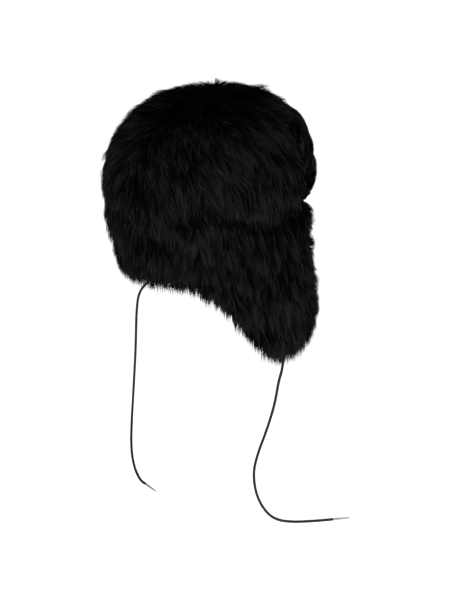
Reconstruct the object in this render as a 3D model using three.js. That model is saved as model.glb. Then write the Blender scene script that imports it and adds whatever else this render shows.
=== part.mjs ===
// Fur cap with a turned-up visor, a nape curtain with two ear flaps, and a cord tie on each flap.
// Millimetres, +Z up. The wearer faces -Y and their left side is +X.
// The origin is the centre of the head opening, level with the crown's rim at the forehead.
import * as THREE from "three";
import { mergeVertices } from "three/addons/utils/BufferGeometryUtils.js";

// Head opening and crown. The crown is a padded hide dome, widest a little above its rim.
const HEAD_WIDTH = 164;
const HEAD_LENGTH = 196;
const HIDE = 3.5;
const BROW_LEVEL = 14;
const CROWN_RISE = 82;
const CROWN_ROUNDNESS = 2.3;
const CROWN_LEAN = 2;
const RIM_TUCK = 1.5;
const SEAM = 0.3;

// Nape curtain and ear flaps, measured down from the rim to the edge of the hide
const NAPE_DROP = 53.5;
const FLAP_DROP = 128;
const FLAP_FLARE = 30;
const FLAP_FLARE_POWER = 1.2;
const NAPE_TUCK = 9;

// Degrees from the middle of the forehead to the flap's front edge, and to where it turns into the nape
const FLAP_FRONT = 53;
const FLAP_BACK_START = 100;
const FLAP_BACK_END = 142;

// Visor, turned up over the forehead. Its span is the degrees from its middle to its side edge.
// It stands away from the crown by VISOR_STAND at its full height, and folds over VISOR_FOLD at its foot.
const VISOR_HIDE = 3;
const VISOR_HEIGHT = 75;
const VISOR_SPAN = 56;
const VISOR_STAND = 11;
const VISOR_STAND_POWER = 4;
const VISOR_FOLD = 6;

// Fur, from the hide to the tips of its locks. A fringe is what hangs past the edge of the hide.
// The dip is how much the crown's fur thins towards its rim.
const CROWN_PILE = 14.5;
const CURTAIN_PILE = 13.5;
const VISOR_PILE = 9.5;
const FRINGE = 12;
const FRONT_FRINGE = 6;
const VISOR_FRINGE = 8;
const RIM_DIP = 2.5;
const RIM_DIP_POWER = 6;

// Degrees that the fur overhangs the side edges of a flap and of the visor
const FLAP_OVERHANG = 6;
const VISOR_OVERHANG = 3;

// Locks. The relief is the depth of the step at a lock's tip. The middle of a lock runs past its row
// by a point, a share of the row's length, and the flanks stop short of it by a share of that point.
// The flanks are sunk by a share of the relief, and the step drops within a share of the row.
const LOCK_RELIEF = 5;
const LOCK_POINT = 0.45;
const EDGE_LOCK_POINT = 0.2;
const FLANK_POINT = 0.4;
const FLANK_SUNK = 0.55;
const LOCK_STEP = 0.05;

// Towards the apex the relief fades to nothing: it is whole where share times this is 1
const WHORL_FADE = 1.6;

// Fur of the crown that the visor lies on: its depth, the degrees in which it rises clear of the
// visor's side edge, and its clearances
const PRESSED_PILE = 2.5;
const PRESSED_EDGE = 8;
const PRESSED_CLEARANCE = 0.8;
const PRESSED_MARGIN = 1;

// Ties: a cord under each flap and the aglet on its end
const TIE_DIAMETER = 3;
const AGLET_LENGTH = 19;
const AGLET_DIAMETER = 2.6;
const AGLET_TIP_DIAMETER = 1.8;

// Grid steps around and along each piece
const CROWN_COLUMNS = 72;
const CROWN_LOCK_ROWS = 7;
const DOME_ROWS = 9;
const CURTAIN_COLUMNS = 52;
const CURTAIN_LOCK_ROWS = 5;
const CURTAIN_ROWS = 5;
const VISOR_COLUMNS = 24;
const VISOR_LOCK_ROWS = 5;
const VISOR_ROWS = 6;
const TIE_STEPS = 40;
const TIE_SIDES = 8;
const AGLET_SIDES = 10;

const FULL_TURN = 360;
const NAPE_MIDDLE = FULL_TURN / 2;
const HALF_WIDTH = HEAD_WIDTH / 2 + HIDE;
const HALF_LENGTH = HEAD_LENGTH / 2 + HIDE;

// Share of the way from the apex to the rim at which the dome meets the wall
const DOME_SHARE = 0.9;

// Row of the dome at which the hide is sewn: its tip is above this seam and its band below it
const CROWN_SEAM_ROW = 6;

// Edge of the curtain from a flap's front edge (turn 0) to the middle of the nape (turn 1).
// reach is the share of the way from the nape's drop down to the flap's.
const CURTAIN_EDGE = [
  { turn: 0.0, reach: 0.8 },
  { turn: 0.05, reach: 0.88 },
  { turn: 0.11, reach: 0.94 },
  { turn: 0.19, reach: 0.98 },
  { turn: 0.27, reach: 1.0 },
  { turn: 0.33, reach: 0.99 },
  { turn: 0.39, reach: 0.85 },
  { turn: 0.45, reach: 0.57 },
  { turn: 0.51, reach: 0.29 },
  { turn: 0.57, reach: 0.12 },
  { turn: 0.65, reach: 0.02 },
  { turn: 0.76, reach: 0.0 },
  { turn: 1.0, reach: 0.0 },
];

// Top edge of the visor from its middle (turn 0) to its side edge (turn 1)
const VISOR_EDGE = [
  { turn: 0.0, height: 0.95 },
  { turn: 0.3, height: 0.98 },
  { turn: 0.6, height: 1.0 },
  { turn: 0.8, height: 0.97 },
  { turn: 0.92, height: 0.87 },
  { turn: 1.0, height: 0.66 },
];

// Profile of an aglet: along is a share of its length, and radius of its mouth's or its tip's
const AGLET_MOUTH_PROFILE = [
  { along: 0, radius: 1 },
  { along: 0.3, radius: 1 },
];
const AGLET_TIP_PROFILE = [
  { along: 0.85, radius: 1 },
  { along: 1, radius: 0.7 },
];

// Route of each tie's middle line, from the edge of the flap's hide down to the ground and on to its aglet
const TIE_RIGHT_ROUTE = [
  [-111.7, -8.0, -128.2],
  [-112.2, -8.8, -138.0],
  [-112.4, -10.0, -150.0],
  [-111.2, -9.0, -166.0],
  [-109.8, -6.0, -181.0],
  [-108.2, -1.7, -208.0],
  [-105.4, 5.5, -236.0],
  [-102.4, 13.8, -262.0],
  [-101.2, 18.4, -282.0],
  [-103.0, 19.4, -299.0],
  [-106.6, 18.0, -314.0],
  [-111.6, 14.3, -327.0],
  [-117.6, 8.6, -337.0],
  [-124.8, 1.0, -342.4],
  [-134.2, -9.0, -343.5],
  [-142.8, -20.8, -343.5],
  [-150.6, -33.4, -343.5],
  [-157.8, -46.2, -343.5],
];
const TIE_LEFT_ROUTE = [
  [111.7, -8.0, -128.2],
  [112.6, -6.8, -137.0],
  [115.6, -1.6, -146.0],
  [119.2, 5.6, -154.0],
  [121.0, 10.6, -165.0],
  [121.4, 13.4, -184.0],
  [119.6, 16.2, -206.0],
  [114.0, 21.6, -228.0],
  [105.4, 30.0, -252.0],
  [94.4, 40.2, -275.0],
  [82.0, 51.2, -295.0],
  [69.2, 61.4, -312.0],
  [56.8, 69.0, -324.6],
  [44.8, 73.2, -335.6],
  [33.6, 74.4, -342.6],
  [23.6, 74.2, -343.5],
];

const hideColour = { color: 0x15130f, roughness: 0.7, metalness: 0 };
const furColour = { color: 0x0c0c0c, roughness: 0.85, metalness: 0 };
const cordColour = { color: 0x0e0e0e, roughness: 0.6, metalness: 0 };
const agletColour = { color: 0x6f6f6f, roughness: 0.35, metalness: 0.6 };

function radians(degrees) {
  return THREE.MathUtils.degToRad(degrees);
}

// Reads a column of a table at a place between its rows, with a smooth step from row to row
function readTable(table, place, column, at) {
  const last = table.length - 1;
  if (at <= table[0][place]) return table[0][column];
  if (at >= table[last][place]) return table[last][column];
  const i = table.findIndex((row) => row[place] > at) - 1;
  const slope = (k) => {
    const a = table[Math.max(k - 1, 0)];
    const b = table[Math.min(k + 1, last)];
    return (b[column] - a[column]) / (b[place] - a[place]);
  };
  const span = table[i + 1][place] - table[i][place];
  const t = (at - table[i][place]) / span;
  const rise = 3 * t * t - 2 * t * t * t;
  const leave = t * (1 - t) * (1 - t);
  const arrive = t * t * (t - 1);
  return (
    table[i][column] * (1 - rise) +
    table[i + 1][column] * rise +
    span * (slope(i) * leave + slope(i + 1) * arrive)
  );
}

// Degrees away from the middle of the forehead, whichever way round
function fromFront(degrees) {
  const turn = ((degrees % FULL_TURN) + FULL_TURN) % FULL_TURN;
  return Math.min(turn, FULL_TURN - turn);
}

function ringPoint(degrees, halfWidth, halfLength, z) {
  const a = radians(degrees);
  return new THREE.Vector3(halfWidth * Math.sin(a), -halfLength * Math.cos(a), z);
}

// Crown surface: share 0 is the apex and 1 the rim, and off is the distance out from the hide.
// Above the widest level it is a superellipsoid that leans to the front, below it the wall tucks in.
function crownPoint(degrees, share, off) {
  if (share > DOME_SHARE) {
    const down = (share - DOME_SHARE) / (1 - DOME_SHARE);
    const tuck = RIM_TUCK * down * down;
    return ringPoint(degrees, HALF_WIDTH + off - tuck, HALF_LENGTH + off - tuck, BROW_LEVEL * (1 - down));
  }
  const climb = (Math.PI / 2) * (1 - share / DOME_SHARE);
  const spread = Math.cos(climb) ** (2 / CROWN_ROUNDNESS);
  const height = Math.sin(climb) ** (2 / CROWN_ROUNDNESS);
  const point = ringPoint(
    degrees,
    (HALF_WIDTH + off) * spread,
    (HALF_LENGTH + off) * spread,
    BROW_LEVEL + (CROWN_RISE + off) * height,
  );
  point.y -= CROWN_LEAN * height;
  return point;
}

// Share along the crown at which its wall is at a height between the rim and the widest level
function crownShareAt(z) {
  return 1 - (z / BROW_LEVEL) * (1 - DOME_SHARE);
}

// Curtain surface below the rim: the flaps flare sideways, and the nape tucks in towards the neck
function curtainPoint(degrees, drop, off) {
  const nape = THREE.MathUtils.smoothstep(fromFront(degrees), FLAP_BACK_START, FLAP_BACK_END);
  const flare = FLAP_FLARE * (1 - nape) * (drop / FLAP_DROP) ** FLAP_FLARE_POWER;
  const tuck = RIM_TUCK + (NAPE_TUCK * nape * drop) / NAPE_DROP;
  return ringPoint(degrees, HALF_WIDTH + off + flare - tuck, HALF_LENGTH + off - tuck, -drop);
}

function curtainEdge(degrees, front) {
  const turn = (fromFront(degrees) - front) / (NAPE_MIDDLE - front);
  return NAPE_DROP + (FLAP_DROP - NAPE_DROP) * readTable(CURTAIN_EDGE, "turn", "reach", turn);
}

// Spread of the crown at a height over its widest level, as a share of its full width
function crownSpread(height) {
  return Math.max(1 - height ** CROWN_ROUNDNESS, 0) ** (1 / CROWN_ROUNDNESS);
}

// Visor surface: off is the distance out from its outer face. It follows the crown's wall, with the
// pressed fur between them, and stands away from the dome towards its top edge.
function visorPoint(degrees, z, off) {
  const height = THREE.MathUtils.clamp((z - BROW_LEVEL) / CROWN_RISE, 0, 1);
  const spread = crownSpread(height);
  const stand = VISOR_STAND * (z / VISOR_HEIGHT) ** VISOR_STAND_POWER;
  const out = PRESSED_PILE + VISOR_HIDE + stand + off;
  const point = ringPoint(degrees, HALF_WIDTH * spread + out, HALF_LENGTH * spread + out, z);
  point.y -= CROWN_LEAN * height;
  return point;
}

function visorTop(degrees, span) {
  return VISOR_HEIGHT * readTable(VISOR_EDGE, "turn", "height", fromFront(degrees) / span);
}

// One closed body from sections that run around the cap, in one of three forms. A dome's sections go
// all round and start and end at its apex. A ring's go all round and are closed loops. A strip's are
// closed loops that stop short of a full turn, and its two end sections are filled.
// Each four-cornered patch is split along its shorter diagonal, so facing walls of two pieces match.
function closedBody(sections, form) {
  const count = sections.length;
  const length = sections[0].length;
  const points = sections.flat();
  const faces = [];
  const bands = form === "strip" ? count - 1 : count;
  const links = form === "dome" ? length - 1 : length;
  for (let i = 0; i < bands; i += 1) {
    for (let k = 0; k < links; k += 1) {
      const a = i * length + k;
      const b = ((i + 1) % count) * length + k;
      const c = ((i + 1) % count) * length + ((k + 1) % length);
      const d = i * length + ((k + 1) % length);
      const shorter = points[a].distanceTo(points[c]) < points[b].distanceTo(points[d]);
      faces.push(...(shorter ? [[a, b, c], [a, c, d]] : [[a, b, d], [b, c, d]]));
    }
  }
  if (form === "strip") {
    faces.push(...endFaces(sections[0], 0).map((face) => face.reverse()));
    faces.push(...endFaces(sections[count - 1], (count - 1) * length));
  }
  return facingOut(points, faces);
}

// Triangles that fill an end section, worked out in the plane of height and distance from the axis
function endFaces(section, first) {
  const outline = section.map((p) => new THREE.Vector2(Math.hypot(p.x, p.y), p.z));
  const turned = THREE.ShapeUtils.isClockWise(outline);
  const faces = THREE.ShapeUtils.triangulateShape(outline, []);
  return faces.map((face) => {
    const [a, b, c] = face.map((corner) => corner + first);
    return turned ? [a, b, c] : [a, c, b];
  });
}

// A geometry with shared vertices merged, collapsed faces dropped and every face pointing out
function facingOut(points, faces) {
  const raw = new THREE.BufferGeometry().setFromPoints(points);
  raw.setIndex(faces.flat());
  const geometry = mergeVertices(raw, 1e-3);
  const index = geometry.index.array;
  const kept = [];
  let volume = 0;
  const corners = [new THREE.Vector3(), new THREE.Vector3(), new THREE.Vector3()];
  for (let i = 0; i < index.length; i += 3) {
    const face = [index[i], index[i + 1], index[i + 2]];
    if (face[0] === face[1] || face[1] === face[2] || face[2] === face[0]) continue;
    kept.push(face);
    face.forEach((vertex, k) => corners[k].fromBufferAttribute(geometry.attributes.position, vertex));
    volume += corners[0].dot(corners[1].cross(corners[2]));
  }
  geometry.setIndex(kept.flatMap((face) => (volume < 0 ? face.reverse() : face)));
  geometry.computeVertexNormals();
  return geometry;
}

function named(name, geometry, look) {
  const mesh = new THREE.Mesh(geometry, new THREE.MeshStandardMaterial(look));
  mesh.name = name;
  return mesh;
}

function evenly(count, from, to) {
  return Array.from({ length: count + 1 }, (_, i) => from + ((to - from) * i) / count);
}

// Lines of overlapping locks along a fur section: each row rises to its tips and drops to the next's roots.
// Odd and even columns hold the middles of the locks in turn, so the rows are staggered.
// The last row's middles run past the edge by endPoint, and an endPoint of 0 ends it in a straight line.
function lockLines(rows, column, endPoint) {
  const lines = [];
  for (let row = 0; row < rows; row += 1) {
    const middle = (column + row) % 2 === 0;
    const last = row === rows - 1;
    const point = last ? endPoint : LOCK_POINT;
    const place = (row + 1 + (middle ? point : -point * FLANK_POINT)) / rows;
    lines.push({ along: place, sunk: middle ? 0 : FLANK_SUNK });
    if (!last) lines.push({ along: place + LOCK_STEP / rows, sunk: 1 });
  }
  return lines;
}

// Degrees of the columns of a piece that closes round the cap
function around(columns) {
  return evenly(columns, 0, FULL_TURN).slice(0, -1);
}

// The columns of a piece of hide, and one more past each side edge for the fur that overhangs it
function withFringes(columns, overhang) {
  return [columns[0] - overhang, ...columns, columns[columns.length - 1] + overhang];
}

// Shares of the rows of the crown's hide, from its apex to its rim
function crownRows() {
  return evenly(DOME_ROWS, 0, DOME_SHARE).concat(1);
}

// Share of an edge at the crown's seam: side -1 is the tip's edge and side 1 the band's.
// The gap between them is worked out at the sides of the head, where the rows are closest.
function crownSeamShare(side) {
  const row = DOME_SHARE / DOME_ROWS;
  const share = row * CROWN_SEAM_ROW;
  const length = crownPoint(90, share, 0).distanceTo(crownPoint(90, share + row, 0));
  return share + (side * (SEAM / 2) * row) / length;
}

function crownHide(name, shares, form) {
  const sections = around(CROWN_COLUMNS / 2).map((degrees) => {
    const outer = shares.map((share) => crownPoint(degrees, share, 0));
    const inner = shares.map((share) => crownPoint(degrees, share, -HIDE)).reverse();
    return outer.concat(inner);
  });
  return named(name, closedBody(sections, form), hideColour);
}

function crownTip() {
  const edge = crownSeamShare(-1);
  const above = crownRows().filter((share) => share < edge);
  return crownHide("crown_tip", [...above, edge], "dome");
}

function crownBand() {
  const edge = crownSeamShare(1);
  const below = crownRows().filter((share) => share > edge);
  return crownHide("crown_band", [edge, ...below], "ring");
}

// How much of the crown's fur the turned-up visor presses flat: 1 behind it, 0 clear of its side edges
function pressed(degrees) {
  const start = VISOR_SPAN + VISOR_OVERHANG + PRESSED_MARGIN;
  return 1 - THREE.MathUtils.smoothstep(fromFront(degrees), start, start + PRESSED_EDGE);
}

// Point of the crown's fur, held inside the inner face of the visor where the visor presses it
function crownFurPoint(degrees, share, off) {
  const point = crownPoint(degrees, share, off);
  const room = visorPoint(degrees, point.z, -VISOR_HIDE - PRESSED_CLEARANCE);
  const reach = Math.hypot(point.x, point.y) / Math.hypot(room.x, room.y);
  if (reach > 1) {
    const pull = 1 + (1 / reach - 1) * pressed(degrees);
    point.x *= pull;
    point.y *= pull;
  }
  return point;
}

function crownFur() {
  const sections = around(CROWN_COLUMNS).map((degrees, column) => {
    const bottom = crownShareAt(SEAM / 2 + (VISOR_FOLD + SEAM) * pressed(degrees));
    const outer = lockLines(CROWN_LOCK_ROWS, column, 0).map(({ along, sunk }) => {
      const relief = LOCK_RELIEF * Math.min(along * WHORL_FADE, 1);
      const dip = RIM_DIP * along ** RIM_DIP_POWER;
      return crownFurPoint(degrees, along * bottom, CROWN_PILE - dip - relief * sunk);
    });
    const apex = crownPoint(degrees, 0, CROWN_PILE);
    const shares = evenly(DOME_ROWS, 0, DOME_SHARE).concat(bottom);
    const inner = shares.map((share) => crownPoint(degrees, share, SEAM)).reverse();
    return [apex, ...outer, ...inner];
  });
  return named("crown_fur", closedBody(sections, "dome"), furColour);
}

function curtain() {
  const sections = evenly(CURTAIN_COLUMNS, FLAP_FRONT, FULL_TURN - FLAP_FRONT).map((degrees) => {
    const drops = evenly(CURTAIN_ROWS, SEAM, curtainEdge(degrees, FLAP_FRONT));
    const outer = drops.map((drop) => curtainPoint(degrees, drop, 0));
    const inner = drops.map((drop) => curtainPoint(degrees, drop, -HIDE)).reverse();
    return outer.concat(inner);
  });
  return named("curtain", closedBody(sections, "strip"), hideColour);
}

function curtainFur() {
  const columns = withFringes(evenly(CURTAIN_COLUMNS, FLAP_FRONT, FULL_TURN - FLAP_FRONT), FLAP_OVERHANG);
  const sections = columns.map((degrees, column) => {
    const hideEdge = curtainEdge(degrees, FLAP_FRONT);
    const drop = hideEdge + (fromFront(degrees) < FLAP_FRONT ? FRONT_FRINGE : FRINGE);
    const outer = lockLines(CURTAIN_LOCK_ROWS, column, EDGE_LOCK_POINT).map(({ along, sunk }) =>
      curtainPoint(degrees, SEAM + (drop - SEAM) * along, CURTAIN_PILE - LOCK_RELIEF * sunk),
    );
    const top = curtainPoint(degrees, SEAM, CURTAIN_PILE - RIM_DIP);
    const inner = evenly(CURTAIN_ROWS, SEAM, hideEdge)
      .map((depth) => curtainPoint(degrees, depth, SEAM))
      .reverse();
    return [top, ...outer, ...inner];
  });
  return named("curtain_fur", closedBody(sections, "strip"), furColour);
}

// The visor's hide starts at a foot on the crown's rim, and its lower outer corner is rounded off
function visor() {
  const roundUp = VISOR_HIDE / 2;
  const roundIn = VISOR_HIDE / 4;
  const sections = evenly(VISOR_COLUMNS, -VISOR_SPAN, VISOR_SPAN).map((degrees) => {
    const heights = evenly(VISOR_ROWS, VISOR_FOLD, visorTop(degrees, VISOR_SPAN));
    const outer = heights.map((z) => visorPoint(degrees, z, 0));
    const inner = heights.map((z) => visorPoint(degrees, z, -VISOR_HIDE)).reverse();
    const foot = crownPoint(degrees, crownShareAt(SEAM), SEAM);
    const footTop = crownPoint(degrees, crownShareAt(SEAM + VISOR_HIDE), SEAM);
    const bend = visorPoint(degrees, SEAM, -VISOR_HIDE);
    const bendOut = visorPoint(degrees, SEAM + roundUp, -roundIn);
    return [foot, bend, bendOut, ...outer, ...inner, footTop];
  });
  return named("visor", closedBody(sections, "strip"), hideColour);
}

function visorFur() {
  const columns = withFringes(evenly(VISOR_COLUMNS, -VISOR_SPAN, VISOR_SPAN), VISOR_OVERHANG);
  const low = VISOR_FOLD / 2;
  const sections = columns.map((degrees, column) => {
    const hideTop = visorTop(degrees, VISOR_SPAN);
    const outer = lockLines(VISOR_LOCK_ROWS, column, EDGE_LOCK_POINT).map(({ along, sunk }) =>
      visorPoint(degrees, low + (hideTop + VISOR_FRINGE - low) * along, VISOR_PILE - LOCK_RELIEF * sunk),
    );
    const bottom = visorPoint(degrees, SEAM, VISOR_PILE - LOCK_RELIEF);
    const inner = evenly(VISOR_ROWS, VISOR_FOLD, hideTop)
      .map((z) => visorPoint(degrees, z, SEAM))
      .reverse();
    return [bottom, ...outer, ...inner, visorPoint(degrees, SEAM, SEAM)];
  });
  return named("visor_fur", closedBody(sections, "strip"), furColour);
}

function circle(diameter, sides) {
  return new THREE.Shape(
    around(sides).map((degrees) => {
      const a = radians(degrees);
      return new THREE.Vector2((diameter / 2) * Math.cos(a), (diameter / 2) * Math.sin(a));
    }),
  );
}

function tie(name, route) {
  const path = new THREE.CatmullRomCurve3(route.map((point) => new THREE.Vector3(...point)));
  const tube = new THREE.ExtrudeGeometry(circle(TIE_DIAMETER, TIE_SIDES), {
    extrudePath: path,
    steps: TIE_STEPS,
  });
  return named(name, tube, cordColour);
}

// Aglet in line with the end of a tie: a turned sleeve that narrows to its tip
function aglet(name, route) {
  const ring = (row, diameter) =>
    new THREE.Vector2((row.radius * diameter) / 2, Math.max(row.along * AGLET_LENGTH, SEAM));
  const profile = [
    new THREE.Vector2(0, SEAM),
    ...AGLET_MOUTH_PROFILE.map((row) => ring(row, AGLET_DIAMETER)),
    ...AGLET_TIP_PROFILE.map((row) => ring(row, AGLET_TIP_DIAMETER)),
    new THREE.Vector2(0, AGLET_LENGTH),
  ];
  const mesh = named(name, new THREE.LatheGeometry(profile, AGLET_SIDES), agletColour);
  const end = new THREE.Vector3(...route[route.length - 1]);
  const before = new THREE.Vector3(...route[route.length - 2]);
  const heading = end.clone().sub(before).setZ(0).normalize();
  mesh.position.copy(end);
  mesh.quaternion.setFromUnitVectors(new THREE.Vector3(0, 1, 0), heading);
  return mesh;
}

const cap = new THREE.Group();
cap.add(crownTip(), crownBand(), crownFur(), curtain(), curtainFur(), visor(), visorFur());
cap.add(tie("tie_right", TIE_RIGHT_ROUTE), aglet("aglet_right", TIE_RIGHT_ROUTE));
cap.add(tie("tie_left", TIE_LEFT_ROUTE), aglet("aglet_left", TIE_LEFT_ROUTE));

export default cap;
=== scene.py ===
"""Looks of the fur cap: hide shells, an undercoat, single hairs in locks, braided ties and a plain studio.

Metres, +Z up. The wearer faces -Y and their left side is +X, as in the part's own source.
"""

import math

import bmesh
import bpy
import numpy as np
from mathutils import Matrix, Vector


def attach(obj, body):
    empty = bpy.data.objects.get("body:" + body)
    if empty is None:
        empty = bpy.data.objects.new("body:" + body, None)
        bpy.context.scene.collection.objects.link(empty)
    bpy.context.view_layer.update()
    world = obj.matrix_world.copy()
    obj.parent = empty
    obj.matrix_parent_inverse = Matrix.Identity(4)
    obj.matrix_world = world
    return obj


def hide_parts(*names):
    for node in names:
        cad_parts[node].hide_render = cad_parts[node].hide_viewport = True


bl_info = {
    "name": "Fur cap",
    "version": (1, 0, 0),
    "blender": (4, 5, 0),
    "location": "3D View > Sidebar > Fur cap",
    "description": "Dresses a cap with hide, fur in locks, and braided ties",
    "category": "Object",
}

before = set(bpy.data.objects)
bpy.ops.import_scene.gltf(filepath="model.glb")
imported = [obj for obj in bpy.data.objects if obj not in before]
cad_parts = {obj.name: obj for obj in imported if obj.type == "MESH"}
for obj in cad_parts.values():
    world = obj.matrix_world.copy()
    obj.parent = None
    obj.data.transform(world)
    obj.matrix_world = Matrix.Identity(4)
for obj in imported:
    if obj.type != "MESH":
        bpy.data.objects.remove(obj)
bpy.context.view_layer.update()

# Head opening and crown, as in the part's source
HEAD_WIDTH = 0.164
HEAD_LENGTH = 0.196
HIDE = 0.0035
BROW_LEVEL = 0.014
CROWN_RISE = 0.082
CROWN_ROUNDNESS = 2.3
CROWN_LEAN = 0.002
RIM_TUCK = 0.0015
SEAM = 0.0003
DOME_SHARE = 0.9
HALF_WIDTH = HEAD_WIDTH / 2 + HIDE
HALF_LENGTH = HEAD_LENGTH / 2 + HIDE

# Nape curtain and ear flaps
NAPE_DROP = 0.0535
FLAP_DROP = 0.128
FLAP_FLARE = 0.030
FLAP_FLARE_POWER = 1.2
NAPE_TUCK = 0.009
FLAP_FRONT = 53.0
FLAP_BACK_START = 100.0
FLAP_BACK_END = 142.0

# Visor
VISOR_HIDE = 0.003
VISOR_HEIGHT = 0.075
VISOR_SPAN = 56.0
VISOR_STAND = 0.011
VISOR_STAND_POWER = 4
PRESSED_PILE = 0.0025
PRESSED_EDGE = 8.0
PRESSED_START = 60.0
PRESSED_CLEARANCE = 0.0008
HAIR_PRESSED_START = 56.0
HAIR_PRESSED_EDGE = 4.5
PRESSED_LOWEST = 0.007
PRESSED_FADE = 0.010
HANGING_ROOM = 0.03

# Ties
TIE_DIAMETER = 0.003
TIE_SIDES = 12
TIE_RINGS = 420
BRAID_PITCH = 0.0042
BRAID_RELIEF = 0.07

CORD_STEPS = 4000
CORD_ACROSS = (0.31, 0.22, 0.92)

FLOOR_LEVEL = -0.345
FLOOR_REACH = 30.0

# Camera: turn and rise in degrees, distance, and the point that it looks at
CAMERA_TURN = 232.0
CAMERA_RISE = 26.0
CAMERA_DISTANCE = 1.5
CAMERA_TARGET = (0.0, 0.0, -0.09)
CAMERA_ASIDE = 0.0165
CAMERA_DOWN = 0.032
CAMERA_LENS = 84.36

# Light: the open sky's strength, a wide low sun, and a large soft light on the flap's side.
# Turns and rises are in degrees, as the camera's are.
WORLD_LIGHT = 0.07
FLOOR_GLOW = 0.7
SUN_LIGHT = 4.0
SUN_SPREAD = 60.0
SUN_TURN = 226.0
SUN_RISE = 24.0
SIDE_TURN = 275.0
SIDE_RISE = 8.0
SIDE_DISTANCE = 1.6
SIDE_SIZE = 0.8
SIDE_POWER = 10.0

# Specular levels of napped surfaces and of the hair
DULL = 0.02
HAIR_GLOSS = 0.01

# The parting of the crown's hair: its place round the crown, and how strongly and how far it acts
PARTING_TURN = 186.0
PARTING_HEADING = 0.9
PARTING_WIDTH = 7.0
PARTING_REACH = 38.0

# How much shorter, lower, looser and denser the hair is at a free edge
EDGE_SHORT = 0.25
EDGE_LOW = 0.4
EDGE_LOOSE = 0.85
EDGE_DENSER = 1.4

# Rows of locks: how far they sway and how often round the cap, the locks' own shift as a share of the
# spacing, and the fewest and most locks in a row
ROW_SWAY = 0.35
ROW_SWAYS = 7
LOCK_SHAKE = 0.35
FEWEST_LOCKS = 7
MOST_LOCKS = 1000

# Strands within the locks: their spacing, and how far a strand's hairs draw together at their tips
STRAND_SPACING = 0.0024
STRAND_CLUMP = 0.6

# Spreads of length and depth, as shares, and of heading, in radians, that a lock, a strand and a hair give
LOCK_LENGTH = 0.12
OWN_LENGTH = 0.14
MEAN_DEPTH = 0.95
LOCK_DEPTH = 0.11
OWN_DEPTH = 0.10
LOCK_TURN = 0.16
STRAND_TURN = 0.10
OWN_TURN = 0.07

# Blade of a hair: the power by which it leans to its lock, the most that it is rolled about its length in
# radians, the spread of its width, and its width at the third cross-section as a share of the first's
LEAN_POWER = 1.4
BLADE_ROLL = 0.9
BLADE_VARIES = 0.25
BLADE_TAPER = 0.62

# Level where hair starts, as a share of the pile
ROOT_SHARE = 0.45

# Patches of paler and darker hair: their seed, number of waves and wavelengths
PATCH_SEED = 77
PATCH_WAVES = 14
PATCH_SHORTEST = 0.020
PATCH_LONGEST = 0.045

# Tone: its middle, and what the lock, the strand, the hair itself and the patch add to it. Its spread is
# partly the fur's own random tone and partly painted highlight, standing in for the glossy streaks of the
# hair.
TONE_MIDDLE = 0.16
LOCK_TONE = 0.22
STRAND_TONE = 0.26
OWN_TONE = 0.2
PATCH_TONE = 0.2

# Pale guard hairs: how much paler, and how many spreads from the mean a hair has to be to count as one
GUARD_TONE = 0.75
GUARD_RARITY = 1.2

# Painted shade, which is taken off the tone: at the whorl, at the crown's rim, below the rim, and all over
# the visor
WHORL_PAINTED_SHADE = 0.62
RIM_PAINTED_SHADE = 0.14
CURTAIN_PAINTED_SHADE = 0.16
VISOR_PAINTED_SHADE = 0.1

# Sway of the hair's heading, and how far hair turns out over the edges, in radians
CROWN_SWAY = 0.22
CURTAIN_SWAY = 0.16
VISOR_SWAY = 0.14
TO_VISOR = 0.5
OVER_FLAP_EDGE = 0.8
OVER_VISOR_EDGE = 0.9

# Half the step in share that measures a surface, and the least metres in a degree of turn
SHARE_PROBE = 0.004
SHORTEST_DEGREE = 4e-4

# Undercoat depth as a share of the pile, the height of its lumps, and how much thinner it is at the edge
UNDERCOAT_SHARE = 0.62
UNDERCOAT_LUMPS = 0.10
UNDERCOAT_THINNER = 0.55

# Edge of the curtain from a flap's front edge (turn 0) to the middle of the nape (turn 1)
CURTAIN_EDGE = (
    (0.0, 0.05, 0.11, 0.19, 0.27, 0.33, 0.39, 0.45, 0.51, 0.57, 0.65, 0.76, 1.0),
    (0.8, 0.88, 0.94, 0.98, 1.0, 0.99, 0.85, 0.57, 0.29, 0.12, 0.02, 0.0, 0.0),
)

# Top edge of the visor from its middle (turn 0) to its side edge (turn 1)
VISOR_EDGE = (
    (0.0, 0.3, 0.6, 0.8, 0.92, 1.0),
    (0.95, 0.98, 1.0, 0.97, 0.87, 0.66),
)

# Route of each tie, as in the part's source
TIE_RIGHT_ROUTE = (
    (-0.1117, -0.0080, -0.1282),
    (-0.1122, -0.0088, -0.1380),
    (-0.1124, -0.0100, -0.1500),
    (-0.1112, -0.0090, -0.1660),
    (-0.1098, -0.0060, -0.1810),
    (-0.1082, -0.0017, -0.2080),
    (-0.1054, 0.0055, -0.2360),
    (-0.1024, 0.0138, -0.2620),
    (-0.1012, 0.0184, -0.2820),
    (-0.1030, 0.0194, -0.2990),
    (-0.1066, 0.0180, -0.3140),
    (-0.1116, 0.0143, -0.3270),
    (-0.1176, 0.0086, -0.3370),
    (-0.1248, 0.0010, -0.3424),
    (-0.1342, -0.0090, -0.3435),
    (-0.1428, -0.0208, -0.3435),
    (-0.1506, -0.0334, -0.3435),
    (-0.1578, -0.0462, -0.3435),
)
TIE_LEFT_ROUTE = (
    (0.1117, -0.0080, -0.1282),
    (0.1126, -0.0068, -0.1370),
    (0.1156, -0.0016, -0.1460),
    (0.1192, 0.0056, -0.1540),
    (0.1210, 0.0106, -0.1650),
    (0.1214, 0.0134, -0.1840),
    (0.1196, 0.0162, -0.2060),
    (0.1140, 0.0216, -0.2280),
    (0.1054, 0.0300, -0.2520),
    (0.0944, 0.0402, -0.2750),
    (0.0820, 0.0512, -0.2950),
    (0.0692, 0.0614, -0.3120),
    (0.0568, 0.0690, -0.3246),
    (0.0448, 0.0732, -0.3356),
    (0.0336, 0.0744, -0.3426),
    (0.0236, 0.0742, -0.3435),
)


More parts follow.
